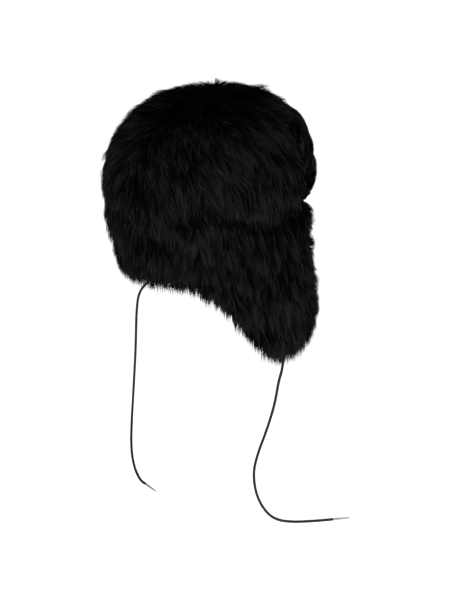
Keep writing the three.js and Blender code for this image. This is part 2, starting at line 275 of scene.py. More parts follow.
def smooth_step(value, start, end):
    """0 up to start and 1 from end, with a smooth S between them."""
    t = np.clip((value - start) / (end - start), 0, 1)
    return t * t * (3 - 2 * t)


def read_table(table, at):
    """Reads a two-row table at many places: a cubic between its places, with the neighbours' slopes."""
    places, values = (np.array(row) for row in table)
    at = np.clip(at, places[0], places[-1])
    before = np.concatenate([[0], np.arange(len(places) - 1)])
    after = np.concatenate([np.arange(1, len(places)), [len(places) - 1]])
    slopes = (values[after] - values[before]) / (places[after] - places[before])
    i = np.clip(np.searchsorted(places, at, side="right") - 1, 0, len(places) - 2)
    span = places[i + 1] - places[i]
    t = (at - places[i]) / span
    rise = 3 * t**2 - 2 * t**3
    bend = slopes[i] * t * (1 - t) ** 2 + slopes[i + 1] * t**2 * (t - 1)
    return values[i] * (1 - rise) + values[i + 1] * rise + span * bend


def from_front(turn):
    """Degrees away from the middle of the forehead, whichever way round."""
    turn = np.mod(turn, 360)
    return np.minimum(turn, 360 - turn)


def ring(turn, half_width, half_length, z):
    """Points on an ellipse round the Z axis. The turn starts at the forehead and runs to the left ear."""
    a = np.radians(turn)
    return np.stack(np.broadcast_arrays(half_width * np.sin(a), -half_length * np.cos(a), z), -1)


def crown_surface(turn, share, off):
    """Superellipsoid dome from the apex (share 0) to its widest level, then a wall that tucks in to the rim
    (share 1) and goes on straight down past it. off is the distance out from the hide."""
    climb = np.pi / 2 * np.clip(1 - share / DOME_SHARE, 0, 1)
    spread = np.cos(climb) ** (2 / CROWN_ROUNDNESS)
    height = np.sin(climb) ** (2 / CROWN_ROUNDNESS)
    down = np.maximum(share - DOME_SHARE, 0) / (1 - DOME_SHARE)
    tuck = RIM_TUCK * np.minimum(down, 1) ** 2
    z = BROW_LEVEL * (1 - down) + (CROWN_RISE + off) * height
    points = ring(turn, (HALF_WIDTH + off) * spread - tuck, (HALF_LENGTH + off) * spread - tuck, z)
    points[..., 1] -= CROWN_LEAN * height
    return points


def visor_surface(turn, z, off):
    """The crown's wall at each height, moved out by the pressed fur and the visor's hide, and by a stand that
    grows as a power of the height up to the visor's top. off is the distance out from its outer face."""
    height = np.clip((z - BROW_LEVEL) / CROWN_RISE, 0, 1)
    spread = np.maximum(1 - height**CROWN_ROUNDNESS, 0) ** (1 / CROWN_ROUNDNESS)
    stand = VISOR_STAND * np.clip(z / VISOR_HEIGHT, 0, 1) ** VISOR_STAND_POWER
    out = PRESSED_PILE + VISOR_HIDE + stand + off
    points = ring(turn, HALF_WIDTH * spread + out, HALF_LENGTH * spread + out, z)
    points[..., 1] -= CROWN_LEAN * height
    return points


def pressed(turn, start, width):
    """How much the visor presses the crown's fur flat: 1 behind it, 0 clear of its side edges."""
    return 1 - smooth_step(from_front(turn), start, start + width)


def press_crown(points, turn, share_pressed):
    """Pulls points on the crown towards the axis where they would reach through the turned-up visor, by a
    share of that way, and lifts those that would hang below it. Points above the visor's top stay free."""
    room = visor_surface(turn, points[..., 2], -VISOR_HIDE - PRESSED_CLEARANCE)
    reach = np.hypot(points[..., 0], points[..., 1]) / np.hypot(room[..., 0], room[..., 1])
    free = smooth_step(points[..., 2], VISOR_HEIGHT - PRESSED_FADE / 2, VISOR_HEIGHT + PRESSED_FADE)
    pull = 1 + (1 / np.maximum(reach, 1) - 1) * share_pressed * (1 - free)
    points[..., :2] *= pull[..., None]
    lowest = (PRESSED_LOWEST + HANGING_ROOM) * share_pressed - HANGING_ROOM
    points[..., 2] = np.maximum(points[..., 2], lowest)
    return points


def crown_fur_surface(turn, share, off):
    """The crown's surface, pressed flat behind the visor, for the undercoat."""
    return press_crown(crown_surface(turn, share, off), turn, pressed(turn, PRESSED_START, PRESSED_EDGE))


def crown_hair_surface(turn, share, off):
    """The crown's surface for the hair, which closes up to the visor's side edges."""
    points = crown_surface(turn, share, off)
    return press_crown(points, turn, pressed(turn, HAIR_PRESSED_START, HAIR_PRESSED_EDGE))


def curtain_edge(turn):
    """Drop of the curtain's edge: the nape's, plus a share of the way down to the flap's from the table."""
    place = (from_front(turn) - FLAP_FRONT) / (180 - FLAP_FRONT)
    return NAPE_DROP + (FLAP_DROP - NAPE_DROP) * read_table(CURTAIN_EDGE, place)


def curtain_surface(turn, share, off):
    """An elliptic wall below the rim. The flaps flare as a power of the drop as far as the edge of the hide
    and go on straight below it, and the nape tucks in."""
    drop = SEAM + (curtain_edge(turn) - SEAM) * share
    hide_drop = SEAM + (curtain_edge(turn) - SEAM) * np.clip(share, 0, 1)
    nape = smooth_step(from_front(turn), FLAP_BACK_START, FLAP_BACK_END)
    flare = FLAP_FLARE * (1 - nape) * (hide_drop / FLAP_DROP) ** FLAP_FLARE_POWER
    tuck = RIM_TUCK + NAPE_TUCK * nape * drop / NAPE_DROP
    return ring(turn, HALF_WIDTH + off + flare - tuck, HALF_LENGTH + off - tuck, -drop)


def visor_share_surface(turn, share, off):
    """The visor's surface with its height as a share of the way from its foot to its top edge."""
    low = SEAM
    top = VISOR_HEIGHT * read_table(VISOR_EDGE, from_front(turn) / VISOR_SPAN)
    return visor_surface(turn, low + (top - low) * share, off)


def waves(turn, share, seed, around, along):
    """Smooth noise from -1 to 1: a sum of sine waves round and down the cap with random phases."""
    rng = np.random.default_rng(seed)
    total = np.zeros(np.broadcast(turn, share).shape)
    for count in (1, 2, 3, 5):
        phase = rng.uniform(0, 2 * np.pi, 2)
        sway = np.sin(along * count * share * np.pi + phase[1])
        total += np.sin(np.radians(turn) * around * count + phase[0] + sway) / count**0.5
    return total / 2.5


def make_mesh(name, points, corners, sizes, smooth=True):
    """An object from arrays: points, the corners of all faces in a row, and how many each face has."""
    mesh = bpy.data.meshes.new(name)
    mesh.vertices.add(len(points))
    mesh.vertices.foreach_set("co", np.asarray(points, np.float32).ravel())
    mesh.loops.add(len(corners))
    mesh.loops.foreach_set("vertex_index", np.asarray(corners, np.int32))
    mesh.polygons.add(len(sizes))
    starts = np.concatenate([[0], np.cumsum(sizes)[:-1]])
    mesh.polygons.foreach_set("loop_start", starts.astype(np.int32))
    mesh.polygons.foreach_set("use_smooth", np.full(len(sizes), smooth))
    mesh.update(calc_edges=True)
    piece = bpy.data.objects.new(name, mesh)
    bpy.context.scene.collection.objects.link(piece)
    return piece


def shell(name, surface, turns, shares, outer, inner, closed):
    """A closed wall between two offsets of a surface. Each section runs down the outer face and back up the
    inner one. A closed shell's sections go all round, and an open one's two end sections are filled."""
    turn, share = np.meshgrid(turns, shares, indexing="ij")
    sections = np.concatenate(
        [surface(turn, share, outer(turn, share)), surface(turn, share, inner(turn, share))[:, ::-1]], 1
    )
    count, length = sections.shape[:2]
    i = np.arange(count if closed else count - 1)[:, None]
    k = np.arange(length)[None, :]
    after = (i + 1) % count
    below = (k + 1) % length
    quads = np.stack(
        np.broadcast_arrays(
            i * length + k, after * length + k, after * length + below, i * length + below
        ),
        -1,
    ).reshape(-1)
    sizes = np.full(len(quads) // 4, 4)
    if not closed:
        ends = np.concatenate([np.arange(length)[::-1], np.arange(length) + (count - 1) * length])
        quads = np.concatenate([quads, ends])
        sizes = np.concatenate([sizes, [length, length]])
    piece = make_mesh(name, sections.reshape(-1, 3), quads, sizes)
    work = bmesh.new()
    work.from_mesh(piece.data)
    bmesh.ops.remove_doubles(work, verts=work.verts, dist=1e-6)
    bmesh.ops.recalc_face_normals(work, faces=work.faces)
    work.to_mesh(piece.data)
    work.free()
    return piece


def spread_roots(surface, rng, count, turn_range, share_range):
    """Random places spread over a surface: cells of a fine grid are drawn by their real area, which counts
    1 + EDGE_DENSER times at the free edge."""
    turns = np.linspace(*turn_range, 181)
    shares = np.linspace(*share_range, 121)
    turn, share = np.meshgrid(turns, shares, indexing="ij")
    points = surface(turn, share, 0.0)
    along = points[1:, :-1] - points[:-1, :-1]
    down = points[:-1, 1:] - points[:-1, :-1]
    area = np.linalg.norm(np.cross(along, down), axis=-1)
    area *= 1 + EDGE_DENSER * smooth_step(share[:-1, :-1], 0.8, 0.97)
    cell = rng.choice(area.size, count, p=(area / area.sum()).ravel())
    i, k = np.unravel_index(cell, area.shape)
    jitter = rng.random((2, count))
    at_turn = turns[i] + jitter[0] * (turns[1] - turns[0])
    at_share = shares[k] + jitter[1] * (shares[1] - shares[0])
    return at_turn, at_share


def steps_per_metre(surface, turn, share, off, heading):
    """Change of turn and share for a metre along the surface, in a heading measured from straight down."""
    share = np.maximum(share, 0.01)
    across = surface(turn + 0.5, share, off) - surface(turn - 0.5, share, off)
    down = surface(turn, share + SHARE_PROBE, off) - surface(turn, share - SHARE_PROBE, off)
    by_turn = np.linalg.norm(across, axis=-1)
    by_share = np.linalg.norm(down, axis=-1) / (2 * SHARE_PROBE)
    return np.sin(heading) / np.maximum(by_turn, SHORTEST_DEGREE), np.cos(heading) / by_share


def gather(turn, share, rng, surface, spacing, share_length):
    """The lock that each hair belongs to, as its middle and a number: rows a spacing apart down the surface
    that sway a little, each cut into locks about as wide as they are long, with its own random start."""
    rows = int(math.ceil(share_length / spacing)) + 2
    place_down = share * share_length / spacing + ROW_SWAY * np.sin(np.radians(turn) * ROW_SWAYS)
    row = np.clip(place_down.astype(int), 0, rows - 1)
    middle_share = (np.arange(rows) + 0.5) * spacing / share_length
    degree_start = surface(np.full(rows, 90.0), middle_share, 0.0)
    degree_end = surface(np.full(rows, 91.0), middle_share, 0.0)
    girth = np.linalg.norm(degree_end - degree_start, axis=-1)
    locks = np.maximum((girth * 360 / spacing).astype(int), FEWEST_LOCKS)
    start = rng.uniform(0, 360, rows)
    place = np.mod(turn + start[row], 360) / 360 * locks[row]
    column = place.astype(int)
    number = row * MOST_LOCKS + column
    shake = rng.uniform(-LOCK_SHAKE, LOCK_SHAKE, (rows * MOST_LOCKS + MOST_LOCKS, 2))[number]
    middle_turn = (column + 0.5 + shake[:, 0]) / locks[row] * 360 - start[row]
    middle_turn += 360 * np.round((turn - middle_turn) / 360)
    return middle_turn, middle_share[row] + shake[:, 1] * spacing / share_length, number


def patches(points):
    """Smooth noise with a spread of 1: a sum of sine waves through space in random directions, each with a
    wavelength between PATCH_SHORTEST and PATCH_LONGEST."""
    rng = np.random.default_rng(PATCH_SEED)
    directions = rng.normal(0, 1, (PATCH_WAVES, 3))
    directions /= np.linalg.norm(directions, axis=1, keepdims=True)
    waves_per_metre = 1 / rng.uniform(PATCH_SHORTEST, PATCH_LONGEST, PATCH_WAVES)
    phases = points @ (directions * waves_per_metre[:, None] * 2 * np.pi).T
    phases = phases + rng.uniform(0, 2 * np.pi, PATCH_WAVES)
    return np.sin(phases).sum(1) / (PATCH_WAVES / 2) ** 0.5


def hairs(
    name,
    surface,
    seed,
    count,
    turn_range,
    share_range,
    flow,
    free_edge,
    painted_shade,
    length,
    base,
    pile,
    width,
    clump,
    spacing,
):
    """Single hairs as tapered blades of three cross-sections and a tip. A hair starts at its root, runs along
    the surface in the flow's heading, and rises as a quarter sine from base to pile. It draws towards its
    strand in step with its length, and leans towards its lock's tip by the clump share times its own share of
    the length to the power LEAN_POWER. Where free_edge is above 0, hair is shorter and lies lower, and near
    share 1 it gathers less. Its tone is a sum of what its lock, strand and patch and the hair itself give,
    less its painted shade."""
    rng = np.random.default_rng(seed)
    turn, share = spread_roots(surface, rng, count, turn_range, share_range)
    profile = surface(np.full(60, 200.0), np.linspace(0, 1, 60), 0.0)
    share_length = float(np.linalg.norm(np.diff(profile, axis=0), axis=1).sum())
    lock_turn, lock_share, number = gather(turn, share, rng, surface, spacing, share_length)
    strand_turn, strand_share, strand = gather(turn, share, rng, surface, STRAND_SPACING, share_length)
    of_strand = rng.normal(0, 1, (strand.max() + 1, 2))[strand]
    of_lock = rng.normal(0, 1, (number.max() + 1, 4))[number]
    own = rng.normal(0, 1, (count, 4))
    edge = free_edge(turn, share)
    even = 1 - EDGE_LOOSE * smooth_step(share, 0.7, 1.0)
    of_lock = of_lock * [[1, 1, 1, 0]] * even[:, None] + of_lock * [[0, 0, 0, 1]]
    reach = length * (1 + LOCK_LENGTH * of_lock[:, 0] + OWN_LENGTH * own[:, 0]) * (1 - EDGE_SHORT * edge)
    top = pile * (MEAN_DEPTH + LOCK_DEPTH * of_lock[:, 1] + OWN_DEPTH * own[:, 1]) * (1 - EDGE_LOW * edge)
    own_heading = flow(turn, share) + LOCK_TURN * of_lock[:, 2]
    own_heading = own_heading + STRAND_TURN * of_strand[:, 0] + OWN_TURN * own[:, 2]
    lock_heading = flow(lock_turn, lock_share) + LOCK_TURN * of_lock[:, 2]
    own_step = steps_per_metre(surface, turn, share, base, own_heading)
    low_share = np.maximum(lock_share, 0.02)
    lock_step = steps_per_metre(surface, lock_turn, low_share, base, lock_heading)
    lines = []
    for t in (0.0, 0.38, 0.72, 1.0):
        lean = clump * even * t**LEAN_POWER
        drawn = STRAND_CLUMP * (0.3 + 0.7 * even) * t
        own_place = (
            turn + drawn * (strand_turn - turn) + own_step[0] * reach * t,
            share + drawn * (strand_share - share) + own_step[1] * reach * t,
        )
        lock_place = lock_turn + lock_step[0] * reach * t, lock_share + lock_step[1] * reach * t
        at_turn = own_place[0] * (1 - lean) + lock_place[0] * lean
        at_share = own_place[1] * (1 - lean) + lock_place[1] * lean
        rise = base + (top - base) * np.sin(t * np.pi / 2)
        lines.append(surface(at_turn, np.maximum(at_share, 0.001), rise))
    lines = np.stack(lines, 1)
    outward = surface(turn, np.maximum(share, 0.01), pile) - surface(turn, np.maximum(share, 0.01), 0.0)
    outward /= np.linalg.norm(outward, axis=1, keepdims=True)
    heading = lines[:, 3] - lines[:, 0]
    side = np.cross(heading, outward)
    side /= np.maximum(np.linalg.norm(side, axis=1, keepdims=True), 1e-9)
    roll = rng.uniform(-BLADE_ROLL, BLADE_ROLL, count)[:, None]
    side = side * np.cos(roll) + outward * np.sin(roll)
    half = width / 2 * (1 + BLADE_VARIES * own[:, 3:4]).clip(0.5, 1.6) * side
    points = np.stack(
        [
            lines[:, 0] - half,
            lines[:, 0] + half,
            lines[:, 1] - half,
            lines[:, 1] + half,
            lines[:, 2] - BLADE_TAPER * half,
            lines[:, 2] + BLADE_TAPER * half,
            lines[:, 3],
        ],
        1,
    )
    pattern = np.array([1, 0, 2, 3, 3, 2, 4, 5, 5, 4, 6])
    corners = (np.arange(count)[:, None] * 7 + pattern[None, :]).reshape(-1)
    sizes = np.tile([4, 4, 3], count)
    piece = make_mesh(name, points.reshape(-1, 3), corners, sizes)
    # Painted shade is taken off the tone below
    tone = TONE_MIDDLE + LOCK_TONE * of_lock[:, 3] + STRAND_TONE * of_strand[:, 1] + OWN_TONE * own[:, 1]
    tone += PATCH_TONE * patches(lines[:, 0]) - painted_shade(turn, share) + GUARD_TONE * (own[:, 3] > GUARD_RARITY)
    tone = np.clip(tone, 0, 1)
    # Darker at the root and paler to the tip: partly the hair's own colour, partly painted shade deep in the
    # pile
    along = np.array([0.0, 0.0, 0.2, 0.2, 0.75, 0.75, 1.0])
    carried = piece.data.attributes.new("tone", "FLOAT", "POINT")
    carried.data.foreach_set("value", (tone[:, None] * along[None, :]).astype(np.float32).ravel())
    return piece


def crown_rim(turn, share):
    """Positive at the crown's rim and at its whorl, and below 0 on the shoulders, where hair is fuller."""
    whorl = 0.2 * (1 - smooth_step(share, 0, 0.1))
    shoulder = 0.4 * smooth_step(share, 0.06, 0.14) * (1 - smooth_step(share, 0.3, 0.45))
    return 0.25 * smooth_step(share, 0.8, 1.0) + whorl - shoulder


def curtain_rim(turn, share):
    """A little above 0 at a flap's lower edge, 0 at the nape's, and below 0 just under the rim, where hair
    is fuller."""
    nape = smooth_step(from_front(turn), FLAP_BACK_START, FLAP_BACK_END)
    return 0.1 * (1 - nape) * smooth_step(share, 0.72, 1.0) - 0.4 * (1 - smooth_step(share, 0.05, 0.3))


def visor_rim(turn, share):
    """Above 0 at the visor's top and side edges, and below 0 at its foot, where hair is fuller."""
    side = smooth_step(from_front(turn), VISOR_SPAN - 9, VISOR_SPAN)
    foot = 0.6 * (1 - smooth_step(share, 0.04, 0.25))
    return np.maximum(0.4 * smooth_step(share, 0.7, 1.0), 0.25 * side) - foot


def crown_painted_shade(turn, share):
    """How much painted shade darkens the crown's hair: most at the whorl, a little at the rim."""
    whorl = WHORL_PAINTED_SHADE * (1 - smooth_step(share, 0.14, 0.4))
    return whorl + RIM_PAINTED_SHADE * smooth_step(share, 0.7, 1.0)


def curtain_painted_shade(turn, share):
    """How much painted shade darkens the curtain's hair: a little below the rim."""
    return CURTAIN_PAINTED_SHADE * (1 - smooth_step(share, 0.3, 0.7))


def visor_painted_shade(turn, share):
    """How much painted shade darkens the visor's hair: the same all over."""
    return np.full_like(share, VISOR_PAINTED_SHADE)


def crown_flow(turn, share):
    """Heading of the crown's hair, in radians from straight down. It turns away on both sides of a parting
    that runs from the whorl towards the back of the left ear, leans towards the visor beside it, and
    sways."""
    away = np.mod(turn - PARTING_TURN + 180, 360) - 180
    parted = PARTING_HEADING * np.tanh(away / PARTING_WIDTH) * np.exp(-np.abs(away) / PARTING_REACH)
    parted *= smooth_step(share, 0.02, 0.2) * (1 - smooth_step(share, 0.65, 0.95))
    side = np.where(np.mod(turn, 360) < 180, -1, 1)
    to_visor = TO_VISOR * side * (1 - smooth_step(from_front(turn), PRESSED_START, PRESSED_START + 24))
    return parted + to_visor * smooth_step(share, 0.15, 0.4) + CROWN_SWAY * waves(turn, share, 5, 2, 1)


def curtain_flow(turn, share):
    """Heading of the curtain's hair: straight down with a slow sway, and out over each flap's front edge."""
    front = from_front(turn) - FLAP_FRONT
    side = np.where(np.mod(turn, 360) < 180, -1, 1)
    out = OVER_FLAP_EDGE * side * (1 - smooth_step(front, 0, 14))
    return out + CURTAIN_SWAY * waves(turn, share, 8, 3, 1)


def visor_flow(turn, share):
    """Heading of the visor's hair: up to its top edge, and out over its side edges."""
    side = np.sign(np.mod(turn + 180, 360) - 180)
    near = smooth_step(from_front(turn), VISOR_SPAN - 12, VISOR_SPAN)
    out = OVER_VISOR_EDGE * side * near * (1 - 0.6 * share)
    return out + VISOR_SWAY * waves(turn, share, 11, 4, 1)


def grain_group():
    """Node group: fine fibre height from two sizes of noise, for the hide and the undercoat."""
    found = bpy.data.node_groups.get("Fibre grain")
    if found:
        return found
    group = bpy.data.node_groups.new("Fibre grain", "ShaderNodeTree")
    scale = group.interface.new_socket(name="Scale", in_out="INPUT", socket_type="NodeSocketFloat")
    scale.default_value = 600.0
    group.interface.new_socket(name="Height", in_out="OUTPUT", socket_type="NodeSocketFloat")
    nodes, links = group.nodes, group.links
    start = nodes.new("NodeGroupInput")
    end = nodes.new("NodeGroupOutput")
    place = nodes.new("ShaderNodeTexCoord")
    fine = nodes.new("ShaderNodeTexNoise")
    broad = nodes.new("ShaderNodeTexNoise")
    broad.inputs["Scale"].default_value = 90.0
    both = nodes.new("ShaderNodeMath")
    both.operation = "ADD"
    links.new(place.outputs["Object"], fine.inputs["Vector"])
    links.new(place.outputs["Object"], broad.inputs["Vector"])
    links.new(start.outputs["Scale"], fine.inputs["Scale"])
    links.new(fine.outputs["Fac"], both.inputs[0])
    links.new(broad.outputs["Fac"], both.inputs[1])
    links.new(both.outputs["Value"], end.inputs["Height"])
    return group


def plain_material(name, colour, roughness, gloss):
    """A material with its principled shader's colour, roughness and specular level set, and that shader."""
    material = bpy.data.materials.new(name)
    material.use_nodes = True
    shader = material.node_tree.nodes["Principled BSDF"]
    shader.inputs["Base Color"].default_value = (*colour, 1)
    shader.inputs["Roughness"].default_value = roughness
    shader.inputs["Specular IOR Level"].default_value = gloss
    return material, shader


def grained(name, colour, roughness, scale, depth, gloss=DULL):
    """A surface with plain colour and roughness, and the fibre grain as bump."""
    material, shader = plain_material(name, colour, roughness, gloss)
    tree = material.node_tree
    grain = tree.nodes.new("ShaderNodeGroup")
    grain.node_tree = grain_group()
    grain.inputs["Scale"].default_value = scale
    bump = tree.nodes.new("ShaderNodeBump")
    bump.inputs["Distance"].default_value = depth
    tree.links.new(grain.outputs["Height"], bump.inputs["Height"])
    tree.links.new(bump.outputs["Normal"], shader.inputs["Normal"])
    return material


def hair_material(root, tip, roughness):
    """Hair from a root colour to a tip colour, by the tone attribute that each hair carries."""
    material, shader = plain_material("Fur hair", root, roughness, HAIR_GLOSS)
    tree = material.node_tree
    tone = tree.nodes.new("ShaderNodeAttribute")
    tone.attribute_name = "tone"
    ramp = tree.nodes.new("ShaderNodeValToRGB")
    ramp.color_ramp.elements[0].color = (*root, 1)
    ramp.color_ramp.elements[1].color = (*tip, 1)
    tree.links.new(tone.outputs["Fac"], ramp.inputs["Fac"])
    tree.links.new(ramp.outputs["Color"], shader.inputs["Base Color"])
    return material


def catmull_rom(route, count):
    """Points at even steps on a smooth curve through a route, their unit headings, and its length."""
    route = np.array(route)
    ends = np.concatenate([[2 * route[0] - route[1]], route, [2 * route[-1] - route[-2]]])
    at = np.linspace(0, len(route) - 1, CORD_STEPS)
    i = np.minimum(at.astype(int), len(route) - 2)
    t = (at - i)[:, None]
    a, b, c, d = ends[i], ends[i + 1], ends[i + 2], ends[i + 3]
    fine = 0.5 * (2 * b + (c - a) * t + (2 * a - 5 * b + 4 * c - d) * t**2 + (3 * b - a - 3 * c + d) * t**3)
    walked = np.concatenate([[0], np.cumsum(np.linalg.norm(np.diff(fine, axis=0), axis=1))])
    even = np.linspace(0, walked[-1], count)
    points = np.stack([np.interp(even, walked, fine[:, axis]) for axis in range(3)], 1)
    headings = np.gradient(points, axis=0)
    return points, headings / np.linalg.norm(headings, axis=1, keepdims=True), float(walked[-1])


def braided_cord(name, route):
    """A round tube along the route, closed flat at its ends. Its radius is the cord's, less a relief between
    the strands of two opposite helices."""
    points, headings, length = catmull_rom(route, TIE_RINGS)
    sideways = np.cross(headings, np.array(CORD_ACROSS))
    sideways /= np.linalg.norm(sideways, axis=1, keepdims=True)
    upright = np.cross(headings, sideways)
    around = np.linspace(0, 2 * np.pi, TIE_SIDES, endpoint=False)[None, :]
    along = np.linspace(0, length, TIE_RINGS)[:, None] / BRAID_PITCH * 2 * np.pi
    relief = np.maximum(np.sin(2 * around + along), np.sin(2 * around - along))
    radius = TIE_DIAMETER / 2 * (1 - BRAID_RELIEF * (0.5 - 0.5 * relief))
    radius = np.minimum(radius, TIE_DIAMETER / 2)[..., None]
    rings = points[:, None] + radius * (
        np.cos(around)[..., None] * sideways[:, None] + np.sin(around)[..., None] * upright[:, None]
    )
    i = np.arange(TIE_RINGS - 1)[:, None] * TIE_SIDES
    k = np.arange(TIE_SIDES)[None, :]
    beside = (k + 1) % TIE_SIDES
    corners = np.stack([i + k, i + beside, i + TIE_SIDES + beside, i + TIE_SIDES + k], -1).reshape(-1)
    caps = np.concatenate([k[0][::-1], k[0] + (TIE_RINGS - 1) * TIE_SIDES])
    sizes = np.concatenate([np.full(len(corners) // 4, 4), [TIE_SIDES, TIE_SIDES]])
    piece = make_mesh(name, rings.reshape(-1, 3), np.concatenate([corners, caps]), sizes)
    return piece, points, length


def finish_piece(piece, material, slot, *nodes):
    """Gives a piece its material and its body, and hides the solids that it stands for."""
    piece.data.materials.clear()
    piece.data.materials.append(material)
    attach(piece, "root")
    if nodes:
        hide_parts(*nodes)


class CapSizes(bpy.types.PropertyGroup):
    """Depths and numbers of the hair."""

    crown_pile: bpy.props.FloatProperty(
        name="Crown fur", description="Depth of the crown's fur from the hide", default=0.0130, unit="LENGTH"
    )
    curtain_pile: bpy.props.FloatProperty(
        name="Flap fur", description="Depth of the fur on the flaps and nape", default=0.0135, unit="LENGTH"
    )
    visor_pile: bpy.props.FloatProperty(
        name="Visor fur", description="Depth of the visor's fur", default=0.0080, unit="LENGTH"
    )
    hair_width: bpy.props.FloatProperty(
        name="Hair width", description="Width of a blade of hair at its root", default=0.00055, unit="LENGTH"
    )
    lock_spacing: bpy.props.FloatProperty(
        name="Lock spacing",
        description="Distance between the middles of locks",
        default=0.0072,
        unit="LENGTH",
    )
    hairs_in_piece: bpy.props.IntProperty(
        name="Hairs",
        description="Number of hairs in each large piece of fur",
        default=35000,
        min=100,
        max=35000,
    )


class CapFinish(bpy.types.PropertyGroup):
    """Colours and roughness of the hair, hide, cord and aglets."""

    # Near-black root colour: partly the hair's own colour, partly painted shade deep in the pile
    hair_root: bpy.props.FloatVectorProperty(
        name="Hair root",
        description="Colour of the hair at its root",
        default=(0.0002, 0.0002, 0.0002),
        subtype="COLOR",
    )
    hair_tip: bpy.props.FloatVectorProperty(
        name="Hair tip",
        description="Colour of the palest tips",
        default=(0.0165, 0.0162, 0.0159),
        subtype="COLOR",
    )
    hair_roughness: bpy.props.FloatProperty(
        name="Hair roughness",
        description="Roughness of the hair",
        default=0.46,
        min=0,
        max=1,
        subtype="FACTOR",
    )
    # Near-black: partly the hide's own colour, partly painted shade, so that the back edge of the visor's
    # hide shows as a shaded strip
    hide: bpy.props.FloatVectorProperty(
        name="Hide",
        description="Colour of the napped hide",
        default=(0.0022, 0.0021, 0.0020),
        subtype="COLOR",
    )
    cord: bpy.props.FloatVectorProperty(
        name="Cord", description="Colour of the braided ties", default=(0.004, 0.004, 0.004), subtype="COLOR"
    )
    aglet: bpy.props.FloatVectorProperty(
        name="Aglet", description="Colour of the sleeves", default=(0.22, 0.22, 0.22), subtype="COLOR"
    )
    floor: bpy.props.FloatVectorProperty(
        name="Floor", description="Colour of the floor", default=(0.86, 0.86, 0.86), subtype="COLOR"
    )


def hair_finish(context):
    """The one material that all the hair shares."""
    look = context.scene.cap_finish
    found = bpy.data.materials.get("Fur hair")
    return found or hair_material(tuple(look.hair_root), tuple(look.hair_tip), look.hair_roughness)


class MakeHide(bpy.types.Operator):
    """Makes the hide shells of the crown, the curtain and the visor"""

    bl_idname = "cap.make_hide"
    bl_label = "Hide"

    def execute(self, context):
        suede = grained("Napped hide", tuple(context.scene.cap_finish.hide), 0.85, 900.0, 0.0004)

        def outer(turn, share):
            return np.zeros_like(share)

        def inner(turn, share):
            return np.full_like(share, -HIDE)

        def visor_inner(turn, share):
            return np.full_like(share, -VISOR_HIDE)

        round_turns = np.linspace(0, 360, 145)[:-1]
        crown_shares = np.linspace(0, 1, 48)
        crown = shell("crown_hide", crown_surface, round_turns, crown_shares, outer, inner, True)
        finish_piece(crown, suede, "hide", "crown_tip", "crown_band")
        flap_turns = np.linspace(FLAP_FRONT, 360 - FLAP_FRONT, 150)
        curtain = shell(
            "curtain_hide", curtain_surface, flap_turns, np.linspace(0, 1, 24), outer, inner, False
        )
        finish_piece(curtain, suede, "hide", "curtain")
        visor_turns = np.linspace(-VISOR_SPAN, VISOR_SPAN, 60)
        visor = shell(
            "visor_hide", visor_share_surface, visor_turns, np.linspace(0, 1, 24), outer, visor_inner, False
        )
        finish_piece(visor, suede, "hide", "visor")
        return {"FINISHED"}


def undercoat_depth(pile, seed):
    """Depth of the undercoat: a share of the pile with slow lumps, thinner towards the lower edge."""

    def depth(turn, share):
        lumps = 1 + UNDERCOAT_LUMPS * waves(turn, share, seed, 9, 6)
        return pile * UNDERCOAT_SHARE * lumps * (1 - UNDERCOAT_THINNER * smooth_step(share, 0.86, 1.0))

    return depth


class MakeUndercoat(bpy.types.Operator):
    """Makes the dense undercoat that lies under the longer hair"""

    bl_idname = "cap.make_undercoat"
    bl_label = "Undercoat"

    def execute(self, context):
        sizes = context.scene.cap_sizes
        # The undercoat takes the hair's root colour, which is partly painted shade deep in the pile
        dark = grained("Undercoat", tuple(context.scene.cap_finish.hair_root), 0.95, 700.0, 0.0008)

        def inner(turn, share):
            return np.full_like(share, SEAM)

        crown = shell(
            "crown_undercoat",
            crown_fur_surface,
            np.linspace(0, 360, 181)[:-1],
            np.linspace(0, 1, 60),
            undercoat_depth(sizes.crown_pile, 21),
            inner,
            True,
        )
        finish_piece(crown, dark, "fur", "crown_fur")
        curtain = shell(
            "curtain_undercoat",
            curtain_surface,
            np.linspace(FLAP_FRONT, 360 - FLAP_FRONT, 160),
            np.linspace(0, 1, 40),
            undercoat_depth(sizes.curtain_pile, 22),
            inner,
            False,
        )
        finish_piece(curtain, dark, "fur", "curtain_fur")
        visor = shell(
            "visor_undercoat",
            visor_share_surface,
            np.linspace(-VISOR_SPAN, VISOR_SPAN, 80),
            np.linspace(0, 1, 40),
            undercoat_depth(sizes.visor_pile, 23),
            inner,
            False,
        )
        finish_piece(visor, dark, "fur", "visor_fur")
        return {"FINISHED"}


class MakeCrownHair(bpy.types.Operator):
    """Makes the crown's hair: a short dense layer and the longer locks over it"""

    bl_idname = "cap.make_crown_hair"
    bl_label = "Crown hair"

    def execute(self, context):
        sizes = context.scene.cap_sizes
        count = sizes.hairs_in_piece
        # Name, seed, length, depth as a share of the pile, and how far the hair gathers in locks
        layers = (
            ("crown_short_hair", 31, 0.020, 0.88, 0.45),
            ("crown_locks", 32, 0.024, 1.0, 0.6),
        )
        for name, seed, length, depth, clump in layers:
            piece = hairs(
                name,
                crown_hair_surface,
                seed,
                count,
                (0, 360),
                (0.0, 0.985),
                crown_flow,
                crown_rim,
                crown_painted_shade,
                length,
                sizes.crown_pile * ROOT_SHARE,
                sizes.crown_pile * depth,
                sizes.hair_width,
                clump,
                sizes.lock_spacing,
            )
            finish_piece(piece, hair_finish(context), "fur")
        return {"FINISHED"}


